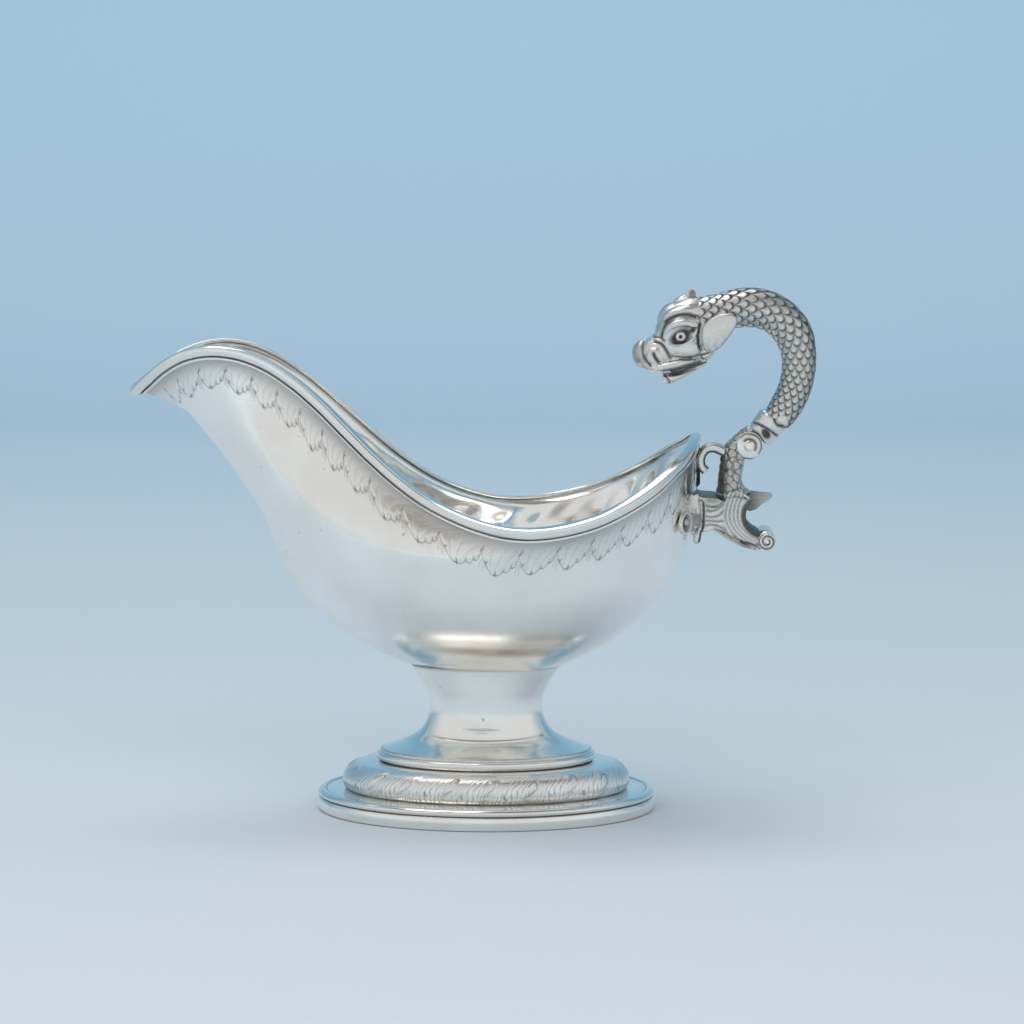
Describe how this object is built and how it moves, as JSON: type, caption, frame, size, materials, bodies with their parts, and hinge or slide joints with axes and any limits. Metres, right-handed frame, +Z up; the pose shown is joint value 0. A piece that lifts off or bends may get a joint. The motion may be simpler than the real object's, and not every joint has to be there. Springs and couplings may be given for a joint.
{
  "type": "sauce boat",
  "caption": "Footed silver sauce boat with a high drawn-out spout, an applied rim, a chased leaf border and a cast sea-serpent handle.",
  "frame": {"origin": "bottom centre of the whole object's bounding box, on the surface it stands on; the centre of the oval foot stands 5.15 mm from it along +X", "axes": "+X towards the handle, -X towards the spout, +Z up; the object is symmetric about the XZ plane"},
  "size_m": [0.2538, 0.1114, 0.1952],
  "materials": {
    "polished_silver": "polished silver with fine wear",
    "chased_silver": "chased silver, darkened in the hollows",
    "cast_silver": "cast silver, oxidised between the scales and flutes"
  },
  "bodies": {
    "root": {"body_shell": "polished_silver", "rim_moulding": "polished_silver", "rim_bead": "polished_silver", "stem_spool": "polished_silver", "foot_flange": "polished_silver", "foot_leaf_band": "chased_silver", "foot_plate": "polished_silver", "foot_reed": "polished_silver", "foot_rim_band": "polished_silver", "serpent_body": "cast_silver", "serpent_head": "cast_silver", "lower_jaw": "cast_silver", "cheek_fin_left": "cast_silver", "cheek_fin_right": "cast_silver", "crest_fin": "cast_silver", "handle_collar": "cast_silver", "collar_volute": "cast_silver", "handle_neck": "cast_silver", "upper_scroll": "cast_silver", "bracket_leaf": "cast_silver", "bracket_volute": "cast_silver", "bracket_spur": "cast_silver", "side_scroll_left": "cast_silver", "side_scroll_right": "cast_silver"}
  },
  "joints": []
}
